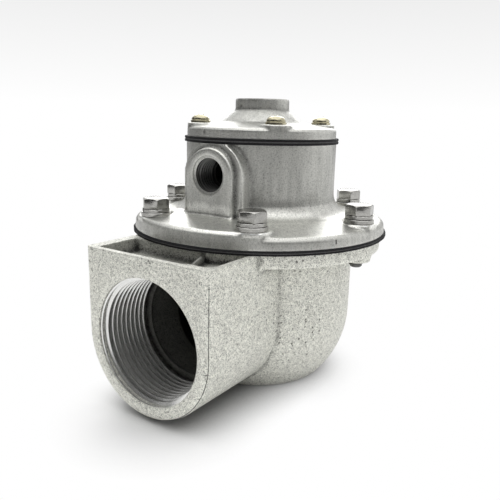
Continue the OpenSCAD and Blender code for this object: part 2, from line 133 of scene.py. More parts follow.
class ValveSizes(bpy.types.PropertyGroup):
    """Lengths and counts of the valve's details."""

    body_voxel: length("Body grain", "Cell size of the body casting's surface", 0.70 * MM)
    bonnet_voxel: length("Bonnet grain", "Cell size of the bonnet casting's surface", 0.55 * MM)
    cover_voxel: length("Cover grain", "Cell size of the cover casting's surface", 0.42 * MM)
    softness: bpy.props.IntProperty(
        name="Softness", description="Smoothing passes that round the cast edges", default=5, min=0, max=30
    )
    large_pitch: length("Large pitch", "Pitch of the large port threads", 2.309 * MM)
    large_depth: length("Large depth", "Depth of the large port threads", 1.479 * MM)
    small_pitch: length("Small pitch", "Pitch of the vent's and the pilot port's thread", 1.337 * MM)
    small_depth: length("Small depth", "Depth of the vent's and the pilot port's thread", 0.856 * MM)
    flash: length("Flash", "Height of the parting line's ridge", 0.16 * MM)
    ply: length("Ply", "Thickness of the fabric in the main diaphragm", 0.45 * MM)


class ValveColours(bpy.types.PropertyGroup):
    """Colours of the valve and of the stage."""

    body: colour("Body", "Shot blasted aluminium", (0.74, 0.74, 0.675))
    bonnet: colour("Bonnet", "Smoother cast aluminium", (0.48, 0.48, 0.452))
    machined: colour("Machined", "Cut aluminium of threads and chamfers", (0.84, 0.84, 0.82))
    rubber: colour("Rubber", "Diaphragm rubber", (0.011, 0.011, 0.012))
    fabric: colour("Fabric", "Fabric ply in the main diaphragm", (0.10, 0.10, 0.10))
    zinc: colour("Zinc", "Zinc on bolts and washers", (0.42, 0.415, 0.395))
    yellow_zinc: colour("Yellow zinc", "Yellow zinc on the cover's screws", (0.56, 0.52, 0.37))
    plate: colour("Plate", "Steel of the inner plates", (0.52, 0.52, 0.53))
    wire: colour("Wire", "Steel of the springs", (0.42, 0.42, 0.44))
    brass: colour("Brass", "Rivet", (0.72, 0.56, 0.28))
    floor: colour("Floor", "Floor of the stage", (0.90, 0.90, 0.90))


# Mesh tools

def linked(name, mesh):
    """A new object with this mesh, placed at the origin."""
    obj = bpy.data.objects.new(name, mesh)
    bpy.context.scene.collection.objects.link(obj)
    return obj


def built(name, bm, outwards=False, place=None):
    """A new object from a working mesh, which is freed."""
    if outwards:
        bmesh.ops.recalc_face_normals(bm, faces=bm.faces)
    mesh = bpy.data.meshes.new(name)
    bm.to_mesh(mesh)
    bm.free()
    if place is not None:
        mesh.transform(place)
    return linked(name, mesh)


def drop(obj):
    """Removes a helper object and its mesh."""
    mesh = obj.data
    bpy.data.objects.remove(obj)
    if mesh.users == 0:
        bpy.data.meshes.remove(mesh)


def settle(obj):
    """Turns the object's modifiers into a plain mesh."""
    depsgraph = bpy.context.evaluated_depsgraph_get()
    mesh = bpy.data.meshes.new_from_object(obj.evaluated_get(depsgraph))
    obj.modifiers.clear()
    old = obj.data
    obj.data = mesh
    mesh.name = obj.name
    if old.users == 0:
        bpy.data.meshes.remove(old)
    return obj


def skinned(name, rings, caps=False, closed=False, place=None):
    """A solid with faces between each ring of points and the next. A ring of one point is a pole."""
    bm = bmesh.new()
    rows = [[bm.verts.new(point) for point in ring] for ring in rings]
    if caps:
        bm.faces.new(rows[0])
        bm.faces.new(rows[-1])
    pairs = list(zip(rows, rows[1:]))
    if closed:
        pairs.append((rows[-1], rows[0]))
    count = max(map(len, rows))
    for low, high in pairs:
        for k in range(count):
            n = (k + 1) % count
            quad = [low[k % len(low)], low[n % len(low)], high[n % len(high)], high[k % len(high)]]
            quad = [v for i, v in enumerate(quad) if v not in quad[:i]]
            if len(quad) > 2:
                bm.faces.new(quad)
    return built(name, bm, True, place)


def turned(name, profile, place=None, segments=128, closed=False):
    """A solid turned round Z from (radius, height) points. A closed profile makes a ring."""
    steps = [2 * math.pi * k / segments for k in range(segments)]
    rings = [[(r * math.cos(a), r * math.sin(a), z) for a in steps if r > 1e-9 or a == 0] for r, z in profile]
    return skinned(name, rings, closed=closed, place=place)


def rod(name, points, place=None, segments=128):
    """A solid turned round Z that is closed at both ends of its (radius, height) points."""
    return turned(name, [(0, points[0][1]), *points, (0, points[-1][1])], place, segments)


def prism(name, outline, z0, z1):
    """An upright solid over a plan outline."""
    return skinned(name, [[(x, y, z) for x, y in outline] for z in (z0, z1)], caps=True)


def merged_copy(node, name):
    """A copy of a solid's mesh with its corners joined."""
    bm = bmesh.new()
    bm.from_mesh(frame["nodes"][node].data)
    bmesh.ops.remove_doubles(bm, verts=bm.verts, dist=1e-6)
    return built(name, bm)


def combine(obj, other, operation="DIFFERENCE"):
    """Cuts, joins or keeps the shared part with another solid, which is used up."""
    modifier = obj.modifiers.new("combine", "BOOLEAN")
    modifier.object = other
    modifier.operation = operation
    modifier.solver = "MANIFOLD"
    settle(obj)
    if not obj.data.polygons:
        raise RuntimeError(f"{operation} left nothing of {obj.name}")
    drop(other)
    return obj


def joined(name, *parts):
    """One object from several closed shells, which are used up."""
    bm = bmesh.new()
    for part in parts:
        bm.from_mesh(part.data)
        drop(part)
    return built(name, bm)


def outward(obj):
    """Turns the faces of closed shells outwards."""
    bm = bmesh.new()
    bm.from_mesh(obj.data)
    bmesh.ops.recalc_face_normals(bm, faces=bm.faces)
    bm.to_mesh(obj.data)
    bm.free()
    return obj


def bevelled(obj, width, segments=2):
    """Rounds the sharp edges of a small part."""
    bevel = obj.modifiers.new("edge", "BEVEL")
    bevel.width = width
    bevel.segments = segments
    bevel.limit_method = "ANGLE"
    bevel.angle_limit = math.radians(25)
    return settle(obj)


def shaded(obj, degrees=38):
    """Smooth shading with sharp edges where the faces turn by more than this angle."""
    obj.data.shade_smooth()
    obj.data.set_sharp_from_angle(angle=math.radians(degrees))
    return obj


def finished(obj, key, slot, body, *nodes):
    """Gives a piece its material, the body that it moves with and the solids that it stands for. Its slot is
    not used.
    """
    obj.data.materials.clear()
    obj.data.materials.append(material(key))
    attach(obj, body)
    if nodes:
        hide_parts(*nodes)
    return obj


def values_of(items, what, width, kind=float):
    """Values of a mesh's points or edges, one row each."""
    out = np.empty(len(items) * width, kind)
    items.foreach_get(what, out)
    return out.reshape(-1, width)


def write(attribute, values):
    """Fills an attribute with one number for each point."""
    attribute.data.foreach_set("value", np.asarray(values, np.float32))


# Node tools

class Wires:
    """A node tree with short ways to add and link nodes. A value is a socket, a number or a vector."""

    def __init__(self, tree):
        self.tree, self.nodes, self.links = tree, tree.nodes, tree.links

    def feed(self, value, socket):
        """Links a socket to this one, or sets a plain value."""
        if isinstance(value, bpy.types.NodeSocket):
            self.links.new(value, socket)
        else:
            socket.default_value = value

    def node(self, kind, inputs=None, **settings):
        """A new node with its settings, and its inputs by name or number."""
        made = self.nodes.new(kind)
        for label, value in settings.items():
            setattr(made, label, value)
        for label, value in (inputs or {}).items():
            self.feed(value, made.inputs[label])
        return made

    def sum(self, operation, first, second):
        """A sum of two numbers."""
        return self.node("ShaderNodeMath", {0: first, 1: second}, operation=operation).outputs[0]

    plus = functools.partialmethod(sum, "ADD")
    minus = functools.partialmethod(sum, "SUBTRACT")
    times = functools.partialmethod(sum, "MULTIPLY")
    larger = functools.partialmethod(sum, "MAXIMUM")
    smaller = functools.partialmethod(sum, "MINIMUM")

    def vectors(self, operation, *given):
        """Outputs of a sum of vectors."""
        return self.node("ShaderNodeVectorMath", dict(enumerate(given)), operation=operation).outputs

    def place(self):
        """Object coordinates."""
        return self.node("ShaderNodeTexCoord").outputs["Object"]

    def noise(self, vector, scale, detail=3.0, roughness=0.55):
        """A noise pattern."""
        given = {"Vector": vector, "Scale": scale, "Detail": detail, "Roughness": roughness}
        return self.node("ShaderNodeTexNoise", given).outputs["Fac"]

    def ranged(self, value, low, high, to_low=0.0, to_high=1.0):
        """A value stretched from one range to another."""
        given = {"Value": value, "From Min": low, "From Max": high, "To Min": to_low, "To Max": to_high}
        return self.node("ShaderNodeMapRange", given).outputs["Result"]

    def toned(self, base, tone):
        """A colour times a tone."""
        return self.node("ShaderNodeVectorMath", {0: base, "Scale": tone}, operation="SCALE").outputs[0]

    def attribute(self, name):
        """A number that is written on the mesh."""
        return self.node("ShaderNodeAttribute", attribute_name=name).outputs["Fac"]

    def upright(self, x=0.0, y=0.0, z=0.0):
        """A vector from three numbers."""
        return self.node("ShaderNodeCombineXYZ", {"X": x, "Y": y, "Z": z}).outputs["Vector"]


def empty_tree(name, kind, inputs, outputs):
    """An empty node tree. Inputs are (name, type, default) and outputs (name, type)."""
    tree = bpy.data.node_groups.new(name, kind)
    for label, socket, *value in inputs:
        made = tree.interface.new_socket(name=label, in_out="INPUT", socket_type=f"NodeSocket{socket}")
        if value:
            made.default_value = value[0]
    for label, socket in outputs:
        tree.interface.new_socket(name=label, in_out="OUTPUT", socket_type=f"NodeSocket{socket}")
    return Wires(tree), tree.nodes.new("NodeGroupInput").outputs


def geometry_tree(name, **inputs):
    """An empty geometry tree with its inputs' names listed by kind, and a material input."""
    sockets = [(label, kind) for kind, labels in inputs.items() for label in labels]
    wires, given = empty_tree(name, "GeometryNodeTree", [*sockets, ("Material", "Material")],
                              [("Geometry", "Geometry")])
    wires.tree.is_modifier = True
    return wires, given


def end_tree(wires, given, geometry):
    """Ends a geometry tree: real geometry, then its material."""
    real = wires.node("GeometryNodeRealizeInstances", {"Geometry": geometry}).outputs["Geometry"]
    coat = wires.node("GeometryNodeSetMaterial", {"Geometry": real, "Material": given["Material"]})
    wires.node("NodeGroupOutput", {"Geometry": coat.outputs["Geometry"]})
    return wires.tree


def grown(name, tree, key, values, mesh=None):
    """Runs a geometry tree with these inputs and this material, and keeps its result as a plain mesh."""
    obj = linked(name, mesh or bpy.data.meshes.new(name))
    modifier = obj.modifiers.new(tree.name, "NODES")
    modifier.node_group = tree
    keys = {item.name: item.identifier for item in tree.interface.items_tree
            if item.item_type == "SOCKET" and item.in_out == "INPUT"}
    for label, value in (*values.items(), ("Material", material(key))):
        modifier[keys[label]] = value
    settle(obj)
    if not obj.data.polygons:
        raise RuntimeError(f"{name} came out empty")
    return obj


def group_tree(name, inputs, outputs):
    """An empty shader group. Inputs are names with defaults, numbers or vectors, and outputs are numbers."""
    kinds = {float: "Float", tuple: "Vector"}
    sockets = [(label, kinds[type(value)], value) for label, value in inputs.items()]
    return empty_tree(name, "ShaderNodeTree", sockets, [(label, "Float") for label in outputs])


# Materials

@functools.cache
def cast_skin():
    """Grain of a cast surface: a tone with dark specks, pits that cluster in one region, and a height. The
    tone also holds painted shade and painted highlights.
    """
    wires, given = group_tree("cast_skin", {
        "Grain Scale": 900.0, "Patch Scale": 90.0, "Pit Scale": 260.0, "Pit Share": 0.12, "Contrast": 0.25,
        "Specks": 0.3, "Worn": 0.2, "Crease": 0.5, "Streak": (1, 1, 1), "Pitted Place": (0, 0, 0),
        "Pitted Reach": 0.01,
    }, ("Tone", "Pits", "Height"))
    place = wires.place()
    grain = wires.noise(place, given["Grain Scale"], 4.0, 0.75)
    streaked = wires.vectors("MULTIPLY", place, given["Streak"])[0]
    patch = wires.noise(streaked, given["Patch Scale"], 4.0, 0.6)
    # Pits sit near some cell centres, where a wide noise or the pitted region allows them.
    cells = wires.node("ShaderNodeTexVoronoi", {"Vector": place, "Scale": given["Pit Scale"]}).outputs
    near = wires.ranged(cells["Distance"], 0.14, 0.30, 1.0, 0.0)
    pick = wires.node("ShaderNodeSeparateColor", {"Color": cells["Color"]}).outputs["Red"]
    allowed = wires.sum("LESS_THAN", pick, given["Pit Share"])
    field = wires.ranged(wires.noise(place, 55.0), 0.52, 0.66)
    away = wires.vectors("DISTANCE", place, given["Pitted Place"])["Value"]
    field = wires.larger(field, wires.sum("LESS_THAN", away, given["Pitted Reach"]))
    pits = wires.times(wires.times(near, allowed), field)
    # The tone is a fine speckle over soft patches. Edges are brighter, partly from wear and partly as a
    # painted highlight, and creases are darker with painted shade.
    fine = wires.times(wires.ranged(grain, 0.32, 0.68, -0.5, 0.5), 0.6)
    soft = wires.times(wires.ranged(patch, 0.3, 0.7, -0.5, 0.5), 0.4)
    tone = wires.times(wires.plus(fine, soft), given["Contrast"])
    tone = wires.minus(tone, wires.times(wires.ranged(grain, 0.48, 0.36), given["Specks"]))
    edge = wires.attribute("edge")
    wear_and_highlight = wires.times(wires.larger(edge, 0.0), given["Worn"])
    crease = wires.times(wires.smaller(edge, 0.0), given["Crease"])
    tone = wires.larger(wires.plus(wires.plus(wires.plus(tone, wear_and_highlight), 1.0), crease), 0.05)
    # Painted shade darkens where the mark is above zero, and painted light brightens where it is below.
    inner = wires.attribute("inner")
    painted_shade_and_light = wires.times(wires.ranged(inner, 0.0, 1.0, 1.0, 0.20), wires.ranged(inner, -1.0, 0.0, 1.5, 1.0))
    wires.node("NodeGroupOutput", {
        "Tone": wires.times(tone, painted_shade_and_light), "Pits": pits, "Height": wires.minus(grain, wires.times(pits, 2.0)),
    })
    return wires.tree


@functools.cache
def fine_lines():
    """Fine lines of drawn, turned or plated metal: a tone and a height."""
    wires, given = group_tree(
        "fine_lines", {"Line Scale": 500.0, "Stretch": (1, 1, 8), "Contrast": 0.2}, ("Tone", "Height"))
    place = wires.place()
    stretched = wires.vectors("MULTIPLY", place, given["Stretch"])[0]
    pattern = wires.noise(stretched, given["Line Scale"], 3.0, 0.5)
    lines = wires.ranged(pattern, 0.3, 0.7, -0.5, 0.5)
    stains = wires.ranged(wires.noise(place, 180.0), 0.3, 0.7, -0.5, 0.5)
    tone = wires.plus(wires.times(wires.plus(lines, stains), given["Contrast"]), 1.0)
    wires.node("NodeGroupOutput", {"Tone": tone, "Height": pattern})
    return wires.tree


def new_material(name):
    """A material, its tree and the inputs of its Principled shader."""
    made = bpy.data.materials.new(name)
    made.use_nodes = True
    wires = Wires(made.node_tree)
    return made, wires, wires.nodes["Principled BSDF"].inputs


def dress(wires, shader, base, tone, roughness, metallic, height, bump):
    """Feeds the shader: a toned colour, a roughness, the share of metal and a bump."""
    wires.feed(wires.toned(base, tone), shader["Base Color"])
    wires.feed(roughness, shader["Roughness"])
    shader["Metallic"].default_value = metallic
    bumped = wires.node("ShaderNodeBump", {"Strength": 1.0, "Distance": bump, "Height": height})
    wires.feed(bumped.outputs["Normal"], shader["Normal"])


def cast_metal(name, base, metallic, roughness, bump, values, tree=cast_skin, spread=0.06):
    """Cast aluminium, or metal with the finish of another tree. Its roughness varies by the spread."""
    made, wires, shader = new_material(name)
    skin = wires.node("ShaderNodeGroup", values, node_tree=tree()).outputs
    tone = skin["Tone"]
    if "Pits" in skin:
        tone = wires.times(tone, wires.minus(1.0, wires.times(skin["Pits"], 0.75)))
    rough = wires.ranged(skin["Tone"], 0.85, 1.15, roughness + spread, roughness - spread)
    dress(wires, shader, base, tone, rough, metallic, skin["Height"], bump)
    return made


def plain_metal(name, base, metallic, roughness, bump, *lines):
    """Metal with fine lines."""
    values = dict(zip(("Line Scale", "Stretch", "Contrast"), lines))
    return cast_metal(name, base, metallic, roughness, bump, values, fine_lines, 0.07)


def rubber_like(name, base, metallic, roughness, bump, scale):
    """Rubber, rubbered fabric, or the dark painted shade of the parting line."""
    made, wires, shader = new_material(name)
    grain = wires.noise(wires.place(), scale, 4.0)
    rough = wires.ranged(grain, 0.3, 0.7, roughness - 0.08, roughness + 0.08)
    dress(wires, shader, base, wires.ranged(grain, 0.3, 0.7, 0.7, 1.4), rough, metallic, grain, bump)
    shader["Specular IOR Level"].default_value = 0.12
    return made


# In these skins the edge brightening is partly wear and partly a painted highlight, and the crease darkening
# is painted shade.
BODY_SKIN = {
    "Grain Scale": 2300.0, "Patch Scale": 700.0, "Pit Scale": 620.0, "Pit Share": 0.45, "Contrast": 1.1,
    "Specks": 0.55, "Worn": 0.25, "Crease": 1.5, "Streak": (1, 1, 1),
    "Pitted Place": (0.034, -0.020, 0.026), "Pitted Reach": 0.011,
}
BONNET_SKIN = {
    "Grain Scale": 1900.0, "Patch Scale": 420.0, "Pit Scale": 300.0, "Pit Share": 0.06, "Contrast": 0.6,
    "Specks": 0.25, "Worn": 0.9, "Crease": 1.2, "Streak": (1, 1, 0.14), "Pitted Place": (0, 0, 0),
    "Pitted Reach": 0.001,
}
# Painted shade: dark colours for threads that sit in shade and for the parting line's ridge.
THREAD_PAINTED_SHADE, SEAM_PAINTED_SHADE = (0.15, 0.15, 0.145), (0.09, 0.09, 0.085)
# For each material: how it is made, its name, its colour or the name of that setting, the share of metal,
# the roughness and the bump in millimetres. Then a skin, or the scale, stretch and contrast of the lines,
# or the scale of the rubber's grain.
MATERIALS = {
    "body": (cast_metal, "blasted_aluminium", "body", 0.35, 0.48, 0.2, BODY_SKIN),
    "bonnet": (cast_metal, "cast_aluminium", "bonnet", 0.80, 0.36, 0.09, BONNET_SKIN),
    "small_thread": (plain_metal, "small_thread", THREAD_PAINTED_SHADE, 1.0, 0.40, 0.005, 400.0, (1, 1, 1), 0.12),
    "machined": (plain_metal, "cut_aluminium", "machined", 0.85, 0.24, 0.003, 300.0, (1, 1, 1), 0.06),
    "zinc": (plain_metal, "bright_zinc", "zinc", 1.0, 0.24, 0.02, 900.0, (1, 1, 3), 0.20),
    "yellow_zinc": (plain_metal, "yellow_zinc", "yellow_zinc", 1.0, 0.19, 0.02, 1000.0, (1, 1, 1), 0.25),
    "plate": (plain_metal, "rolled_steel", "plate", 1.0, 0.32, 0.01, 400.0, (1, 9, 1), 0.18),
    "wire": (plain_metal, "spring_wire", "wire", 1.0, 0.30, 0.01, 900.0, (1, 1, 1), 0.15),
    "brass": (plain_metal, "turned_brass", "brass", 1.0, 0.28, 0.01, 900.0, (1, 1, 6), 0.15),
    "rubber": (rubber_like, "black_rubber", "rubber", 0.0, 0.55, 0.03, 1100.0),
    "fabric": (rubber_like, "fabric_ply", "fabric", 0.0, 0.8, 0.08, 2400.0),
    "grime": (rubber_like, "cast_grime", SEAM_PAINTED_SHADE, 0.0, 0.6, 0.02, 1500.0),
}


@functools.cache
def material(key):
    """The named material, made when it is first asked for."""
    make, name, base, metallic, roughness, bump, *rest = MATERIALS[key]
    if isinstance(base, str):
        base = getattr(bpy.context.scene.valve_colours, base)
    return make(name, base, metallic, roughness, bump * MM, *rest)


# Marks on the castings that their material reads: edges, and painted shade and painted light

def mark_edges(mesh):
    """Writes how far each corner stands out from its neighbours: above zero on an edge, below in a crease."""
    co = values_of(mesh.vertices, "co", 3)
    normal = values_of(mesh.vertices, "normal", 3)
    a, b = values_of(mesh.edges, "vertices", 2, int).T
    step = co[b] - co[a]
    size = np.maximum(np.linalg.norm(step, axis=1), 1e-9)
    bend, seen = np.zeros(len(co)), np.zeros(len(co))
    for end, way in ((a, -1), (b, 1)):
        np.add.at(bend, end, way * (step * normal[end]).sum(1) / size)
        np.add.at(seen, end, 1)
    seen = np.maximum(seen, 1)
    bend /= seen
    for _ in range(3):
        total = np.zeros(len(co))
        np.add.at(total, a, bend[b])
        np.add.at(total, b, bend[a])
        bend = 0.4 * bend + 0.6 * total / seen
    write(mesh.attributes.new("edge", "FLOAT", "POINT"), np.clip(bend * 5.0, -1, 1))


# A point on the middle of the rib between the pockets of the port block, and the rib's lean towards +X.
RIB_X, RIB_Y, RIB_LEAN = 9.2 * MM, -50.5 * MM, 0.43
# The bell's chamber ends in a ball: the height of its centre, and a radius just past its wall.
BALL_HEIGHT, BALL_RADIUS = 28.3 * MM, 37.6 * MM
# Limits of the carving in the port block's top: floor, front and sides, and how near it comes to the axis.
CARVED_FLOOR, CARVED_FRONT, CARVED_SIDE, CARVED_BACK = 55 * MM, -71.4 * MM, 27.6 * MM, 42 * MM
# A radius just past the walls of the bonnet's chambers, its housing's foot, and the width of the fade there.
CHAMBER_RADIUS, HOUSING_FOOT, FADE = 29.0 * MM, 29.5 * MM, 4 * MM


def body_painted_shade(co):
    """Painted shade: darkest in the bell's chamber and the bore behind the thread, less in the block's
    pockets, on the rib's top and on the block's top ledge.
    """
    x, y, z = co.T
    mouth = MOUNTS["inlet_port"]["pos_m"]
    r, depth = port_size("inlet_port")
    behind = mouth[1] + depth
    axis = np.hypot(x, y)
    bore = np.hypot(x, z - mouth[2])
    ball = np.hypot(axis, np.minimum(z - BALL_HEIGHT, 0))
    chamber = (ball < BALL_RADIUS) & (z > 2 * MM) & (z < 61.5 * MM)
    valleys = (bore < r + 0.3 * MM) & (y > mouth[1] + 0.9 * MM) & (y < behind + 2 * MM)
    throat = (bore < r - 0.7 * MM) & (y > behind - 1 * MM) & (y < -24 * MM)
    pocket = (z > CARVED_FLOOR) & (z < 61.6 * MM) & (y > CARVED_FRONT)
    pocket &= (np.abs(x) < CARVED_SIDE) & (axis > CARVED_BACK)
    from_rib = x - RIB_X - RIB_LEAN * (RIB_Y - y)
    rib_top = pocket & (np.abs(from_rib) < 1.3 * MM)
    ledge = (z > 61.7 * MM) & (y < -47 * MM)
    # Painted shade for each kind: full inside, then the rib's top, the right and the left pocket, and the top
    # ledge, which faces up into the light.
    kinds = [chamber | valleys | throat, rib_top, pocket & (from_rib > 1 * MM), pocket, ledge]
    return np.select(kinds, [1.0, 0.8, 0.22, 0.5, 0.25], 0.0)


def bonnet_painted_light_and_shade(co):
    """Painted shade in the chambers and the vent, and a painted highlight on the top of the flange, which
    fades in away from the housing.
    """
    x, y, z = co.T
    axis = np.hypot(x, y)
    low, high = levels("bonnet")
    mouth = MOUNTS["vent_port"]["pos_m"]
    chambers = (axis < CHAMBER_RADIUS) & (z < high - 0.5 * MM)
    bore = port_size("vent_port")[0] + 0.32 * MM
    vent = (np.hypot(x, z - mouth[2]) < bore) & (y > mouth[1]) & (y < -20 * MM)
    # A painted highlight on the flange's top, fading in away from the housing's foot.
    flange = np.clip((axis - HOUSING_FOOT) / FADE, 0, 1) * (z > low + 4.4 * MM) * (z < low + 12 * MM)
    return np.where(chambers | vent, 1.0, -flange)


# Castings

def plug(port, out, extra):
    """A solid that fills a port before its casting is smoothed, from outside its mouth to past its depth."""
    r, depth = port_size(port)
    r += 0.9 * MM
    return rod("plug", [(r, -out), (r, depth + extra)], port_frame(port), 96)


def cutter(port, wider, chamfer, extra):
    """A cutter for a port: the thread's outer radius with a wider, chamfered mouth."""
    r, depth = port_size(port)
    mouth, out = r + wider, 1.5 * MM
    points = [(mouth, -out), (mouth, -out * 0.999), (mouth, -chamfer), (r, 0), (r, 0.5 * MM)]
    return rod("cutter", [*points, (r, depth + extra)], port_frame(port), 160)


def casting(node, key, name, voxel, share, plugs, planes, cutters, carved=(), cut_late=(), marks=None):
    """Rounds a copy of a cast solid as an even skin, with its planes milled flat and its ports cut again.

    Planes are (level, side, stock), where side is one for a top and minus one for an underside. The stock
    is left on before the skin is rounded, so that the mill leaves a sharp edge.
    """
    obj = merged_copy(node, name)
    for values in plugs:
        combine(obj, plug(*values), "UNION")
    for solid in carved:
        combine(obj, solid)
    for level, side, stock in planes:
        for vertex in obj.data.vertices:
            if abs(vertex.co.z - level) < 0.01 * MM:
                vertex.co.z += side * stock
    skin = obj.modifiers.new("skin", "REMESH")
    skin.mode = "VOXEL"
    skin.voxel_size = voxel
    smooth = obj.modifiers.new("round", "SMOOTH")
    smooth.factor = 0.5
    smooth.iterations = bpy.context.scene.valve_sizes.softness
    if share < 1:
        obj.modifiers.new("thin", "DECIMATE").ratio = share
    settle(obj)
    wide, tall = 90 * MM, 9 * MM
    for level, side, _ in planes:
        low, high = sorted((level, level + side * tall))
        combine(obj, prism("mill", [(-wide, -wide), (wide, -wide), (wide, wide), (-wide, wide)], low, high))
    for solid in cut_late:
        combine(obj, solid)
    for values in cutters:
        combine(obj, cutter(*values))
    shaded(obj)
    mark_edges(obj.data)
    if marks:
        # The inner mark holds painted shade where it is above zero and painted light where it is below.
        co = values_of(obj.data.vertices, "co", 3)
        write(obj.data.attributes.new("inner", "FLOAT", "POINT"), marks(co))
    return finished(obj, key, f"cast_{key}", STATIC, node)


def plan(*points):
    """Points of a plan outline, from millimetres."""
    return [(x * MM, y * MM) for x, y in points]


class VALVE_OT_body_casting(bpy.types.Operator):
    """Body: the port block, the bell and the lower flange, as one blasted casting"""

    bl_idname = "valve.body_casting"
    bl_label = "Body casting"

    def execute(self, context):
        top = levels("valve_body")[1]
        second = plan((9.9, -50.5), (26.9, -44.0), (26.9, -67.4), (25.0, -69.0), (17.8, -69.0))
        rib = plan((7.5, -50.6), (11.6, -50.2), (19.2, -68.8), (16.0, -70.2))
        casting(
            "valve_body", "body", "body_casting", context.scene.valve_sizes.body_voxel, share=0.62,
            plugs=[("inlet_port", 0.0, 0.3 * MM), ("outlet_port", 0.0, 0.3 * MM)],
            planes=[(top, 1, 1.2 * MM)],
            cutters=[("inlet_port", 0.7 * MM, 0.7 * MM, 0.4 * MM), ("outlet_port", 0.7 * MM, 0.0, 0.4 * MM)],
            carved=[prism("second_pocket", second, top - 4.6 * MM, top + MM),
                    prism("rib_top", rib, top - 1.5 * MM, top + MM)],
            marks=body_painted_shade,
        )
        return {"FINISHED"}


class VALVE_OT_bonnet_casting(bpy.types.Operator):
    """Bonnet: the upper flange with its bolt pads, the housing and the vent boss, as one casting"""

    bl_idname = "valve.bonnet_casting"
    bl_label = "Bonnet casting"

    def execute(self, context):
        low, high = levels("bonnet")
        # A small nick in the side of the flange.
        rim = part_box("bonnet")[1][0]
        turn = Matrix.Rotation(math.radians(-25.25), 2)
        corners = plan((-0.7, -0.2), (1, -0.3), (1, 0.3), (-0.7, 0.2))
        outline = [turn @ Vector((rim + x, y)) for x, y in corners]
        nick = prism("nick", outline, low + 1.5 * MM, low + 3.0 * MM)
        casting(
            "bonnet", "bonnet", "bonnet_casting", context.scene.valve_sizes.bonnet_voxel, share=0.6,
            plugs=[("vent_port", 0.2 * MM, 0.0)],
            planes=[(low, -1, 1.2 * MM), (high, 1, 1.2 * MM)],
            cutters=[("vent_port", 1.0 * MM, 0.35 * MM, 0.2 * MM)],
            cut_late=[nick],
            marks=bonnet_painted_light_and_shade,
        )
        return {"FINISHED"}


class VALVE_OT_cover_casting(bpy.types.Operator):
    """Cover: the sloping top with its screw pads and the round boss, as one casting"""

    bl_idname = "valve.cover_casting"
    bl_label = "Cover casting"

    def execute(self, context):
        low, high = levels("pilot_cover")
        casting(
            "pilot_cover", "bonnet", "cover_casting", context.scene.valve_sizes.cover_voxel, share=1.0,
            plugs=[("pilot_port", 0.6 * MM, -0.5 * MM)],
            planes=[(low, -1, 1.0 * MM), (high, 1, 0.6 * MM)],
            cutters=[("pilot_port", 0.6 * MM, 0.6 * MM, 0.2 * MM)],
        )
        return {"FINISHED"}


# Threads, springs and the parting line

def helix(wires, given, **inputs):
    """A right-hand helix round Z, from zero upwards."""
    shape = {"Start Radius": given["Radius"], "End Radius": given["Radius"], "Rotations": given["Turns"]}
    return wires.node("GeometryNodeCurveSpiral", {"Reverse": True, **shape, **inputs}).outputs["Curve"]


def swept(wires, given, curve, section, scale=1.0):
    """Ends a tree with a section that follows a curve."""
    sweep = wires.node("GeometryNodeCurveToMesh", {
        "Curve": curve, "Profile Curve": section, "Scale": scale, "Fill Caps": True,
    })
    return end_tree(wires, given, sweep.outputs["Mesh"])


def round_section(wires, radius, corners):
    """A round section."""
    given = {"Radius": radius, "Resolution": corners}
    return wires.node("GeometryNodeCurvePrimitiveCircle", given).outputs["Curve"]


# Turns over which a ridge grows to its full height or runs out.
RUN_OUT = 0.33


@functools.cache
def thread_tree():
    """Geometry nodes that sweep the ridge of a thread along a helix."""
    wires, given = geometry_tree(
        "thread_ridge", Float=("Radius", "Pitch", "Depth", "Turns", "Root", "Run In"), Int=("Steps",))
    line = helix(wires, given, Resolution=given["Steps"], Height=wires.times(given["Pitch"], given["Turns"]))
    level = wires.node("GeometryNodeSetCurveNormal", {"Curve": line}, mode="Z_UP").outputs["Curve"]
    # The ridge is a four-cornered section: its foot sits in the wall by the root's depth.
    section = wires.node("GeometryNodeCurvePrimitiveQuadrilateral", mode="POINTS")
    back = wires.times(given["Root"], -1.0)
    corners = ((back, -0.47), (back, 0.47), (given["Depth"], 0.14), (given["Depth"], -0.14))
    for number, (across, share) in enumerate(corners, 1):
        corner = wires.upright(x=across, y=wires.times(given["Pitch"], share))
        wires.feed(corner, section.inputs[f"Point {number}"])
    # The ridge grows from the mouth, where the countersink cuts it, and runs out at its end.
    along = wires.node("GeometryNodeSplineParameter").outputs["Factor"]
    rise = wires.ranged(along, 0.0, wires.sum("DIVIDE", given["Run In"], given["Turns"]), 0.04)
    fall = wires.ranged(wires.minus(1.0, along), 0.0, wires.sum("DIVIDE", RUN_OUT, given["Turns"]), 0.04)
    return swept(wires, given, level, section.outputs["Curve"], wires.smaller(rise, fall))


def thread_ridge(name, key, radius, pitch, depth, turns, root, steps, place, run_in=RUN_OUT):
    """One thread, moved to its place. A depth below zero stands outwards."""
    obj = grown(name, thread_tree(), key, {
        "Radius": radius, "Pitch": pitch, "Depth": depth, "Turns": turns, "Root": root, "Steps": steps,
        "Run In": run_in,
    })
    obj.data.transform(place)
    return outward(obj)


# Turns over which the ridge of a port's thread grows to its full height.
PORT_RUN_IN = 1.7


def port_thread(port, key, slot, pitch, depth, steps, start):
    """The thread of a port, from behind its chamfer to near its end."""
    r, deep = port_size(port)
    turns = (deep - start - 0.35 * pitch) / pitch
    place = port_frame(port) @ Matrix.Translation((0, 0, start))
    name = port.replace("port", "thread")
    obj = thread_ridge(name, key, r, pitch, -depth, turns, -0.12 * MM, steps, place, PORT_RUN_IN)
    return finished(shaded(obj, 20), key, slot, STATIC)


